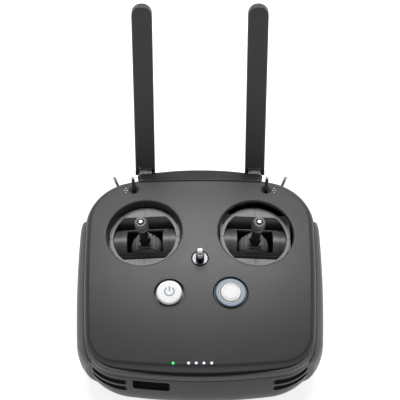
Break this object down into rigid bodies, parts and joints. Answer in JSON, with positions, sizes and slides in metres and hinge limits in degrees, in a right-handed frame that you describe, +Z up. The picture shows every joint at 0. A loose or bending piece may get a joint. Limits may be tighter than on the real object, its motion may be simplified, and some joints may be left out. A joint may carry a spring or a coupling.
{
  "type": "radio transmitter controller",
  "caption": "Hand-held drone transmitter with twin self-centring sticks, toggle levers, push buttons and folding paddle antennas.",
  "frame": {"origin": "centre of the flat back's rest face, under the middle of the body", "axes": "+Z up out of the face, +X to the holder's right, +Y away from the holder towards the antennas"},
  "size_m": [0.1854, 0.2412, 0.183],
  "materials": {
    "casing": "fine-textured dark charcoal",
    "gloss_housing": "polished charcoal",
    "grip": "soft-touch, satin",
    "ring_grey": "satin mid grey",
    "inner_black": "matte black",
    "drum_grey": "moulded dark grey",
    "knurled_metal": "knurled",
    "bright_steel": "polished",
    "steel": "plain",
    "hinge_metal": "satin",
    "antenna_plastic": "matte black",
    "lead_black": "black jacket",
    "chrome": "polished",
    "white_gloss": "polished white",
    "blue_grey_ring": "anodised blue-grey",
    "green_lens": "lit green",
    "white_lens": "lit cool white",
    "board_green": "solder mask",
    "battery_wrap": "shrink film"
  },
  "bodies": {
    "casing": {"battery_cover": "casing", "battery_pack": "battery_wrap", "casing_screws": "steel", "charge_lenses": "white_lens", "charge_socket": "steel", "cover_screws": "steel", "front_shell": "casing", "front_switches": "inner_black", "home_button_ring": "blue_grey_ring", "left_antenna_lead": "lead_black", "left_grip": "grip", "left_stick_frame": "inner_black", "left_stick_ring": "ring_grey", "left_stick_sensors": "inner_black", "left_stick_springs": "steel", "left_vent_grille": "inner_black", "lever_bezel": "chrome", "lever_switch": "inner_black", "main_board": "board_green", "port_frame": "inner_black", "radio_board": "board_green", "rear_shell": "casing", "rear_switches": "steel", "rear_toggle_nuts": "chrome", "right_antenna_lead": "lead_black", "right_grip": "grip", "right_stick_frame": "inner_black", "right_stick_ring": "ring_grey", "right_stick_sensors": "inner_black", "right_stick_springs": "steel", "right_vent_grille": "inner_black", "status_lens": "green_lens", "tact_switches": "steel", "top_housing": "gloss_housing", "trainer_socket": "steel"},
    "left_yoke": {"left_stick_yoke": "drum_grey"},
    "left_stick": {"left_stick_dome": "drum_grey", "left_stick_shaft": "inner_black", "left_stick_knob": "knurled_metal", "left_stick_crown_pin": "bright_steel"},
    "right_yoke": {"right_stick_yoke": "drum_grey"},
    "right_stick": {"right_stick_dome": "drum_grey", "right_stick_shaft": "inner_black", "right_stick_knob": "knurled_metal", "right_stick_crown_pin": "bright_steel"},
    "landing_lever": {"landing_lever": "inner_black"},
    "left_front_toggle": {"left_front_toggle": "inner_black"},
    "left_rear_toggle": {"left_rear_toggle": "chrome"},
    "right_front_toggle": {"right_front_toggle": "inner_black"},
    "right_rear_toggle": {"right_rear_toggle": "chrome"},
    "power_button": {"power_button": "white_gloss"},
    "home_button": {"home_button": "white_gloss"},
    "left_antenna_base": {"left_antenna_base": "hinge_metal", "left_antenna_pin": "steel"},
    "left_antenna": {"left_antenna": "antenna_plastic"},
    "right_antenna_base": {"right_antenna_base": "hinge_metal", "right_antenna_pin": "steel"},
    "right_antenna": {"right_antenna": "antenna_plastic"}
  },
  "joints": [
    {"name": "left_stick_pitch", "type": "hinge", "parent": "casing", "child": "left_yoke", "pos_m": [-0.04051, 0.038, 0.03606], "axis": [0.9962, 0, 0.0872], "range_deg": [-25, 25], "stiffness_Nm_per_rad": 0.05},
    {"name": "left_stick_roll", "type": "hinge", "parent": "left_yoke", "child": "left_stick", "pos_m": [-0.04051, 0.038, 0.03606], "axis": [0, 1, 0], "range_deg": [-25, 25], "stiffness_Nm_per_rad": 0.05},
    {"name": "right_stick_pitch", "type": "hinge", "parent": "casing", "child": "right_yoke", "pos_m": [0.04051, 0.038, 0.03606], "axis": [0.9962, 0, -0.0872], "range_deg": [-25, 25], "stiffness_Nm_per_rad": 0.05},
    {"name": "right_stick_roll", "type": "hinge", "parent": "right_yoke", "child": "right_stick", "pos_m": [0.04051, 0.038, 0.03606], "axis": [0, 1, 0], "range_deg": [-25, 25], "stiffness_Nm_per_rad": 0.05},
    {"name": "landing_lever_tilt", "type": "hinge", "parent": "casing", "child": "landing_lever", "pos_m": [0, 0.01393, 0.05797], "axis": [1, 0, 0], "range_deg": [-14, 14]},
    {"name": "left_front_toggle_flip", "type": "hinge", "parent": "casing", "child": "left_front_toggle", "pos_m": [-0.05005, 0.07679, 0.05233], "axis": [0.9953, 0.0065, 0.0971], "range_deg": [0, 34]},
    {"name": "left_rear_toggle_flip", "type": "hinge", "parent": "casing", "child": "left_rear_toggle", "pos_m": [-0.0611, 0.0847, 0.0384], "axis": [0.8572, 0.515, 0], "range_deg": [-28, 0]},
    {"name": "right_front_toggle_flip", "type": "hinge", "parent": "casing", "child": "right_front_toggle", "pos_m": [0.05005, 0.07679, 0.05233], "axis": [0.9953, -0.0065, -0.0971], "range_deg": [0, 34]},
    {"name": "right_rear_toggle_flip", "type": "hinge", "parent": "casing", "child": "right_rear_toggle", "pos_m": [0.0611, 0.0847, 0.0384], "axis": [0.8572, -0.515, 0], "range_deg": [-28, 0]},
    {"name": "power_button_press", "type": "slide", "parent": "casing", "child": "power_button", "axis": [0.0435, 0.0425, -0.9982], "range_m": [0, 0.0008], "stiffness_N_per_m": 1500, "springref_m": -0.0006},
    {"name": "home_button_press", "type": "slide", "parent": "casing", "child": "home_button", "axis": [-0.0435, 0.0425, -0.9982], "range_m": [0, 0.0008], "stiffness_N_per_m": 1500, "springref_m": -0.0006},
    {"name": "left_antenna_swivel", "type": "hinge", "parent": "casing", "child": "left_antenna_base", "pos_m": [-0.0424, 0.095, 0.0495], "axis": [0, 1, 0], "range_deg": [-90, 15]},
    {"name": "left_antenna_fold", "type": "hinge", "parent": "left_antenna_base", "child": "left_antenna", "pos_m": [-0.0424, 0.0994, 0.0495], "axis": [1, 0, 0], "range_deg": [-66, 24]},
    {"name": "right_antenna_swivel", "type": "hinge", "parent": "casing", "child": "right_antenna_base", "pos_m": [0.0424, 0.095, 0.0495], "axis": [0, 1, 0], "range_deg": [-15, 90]},
    {"name": "right_antenna_fold", "type": "hinge", "parent": "right_antenna_base", "child": "right_antenna", "pos_m": [0.0424, 0.0994, 0.0495], "axis": [1, 0, 0], "range_deg": [-66, 24]}
  ]
}
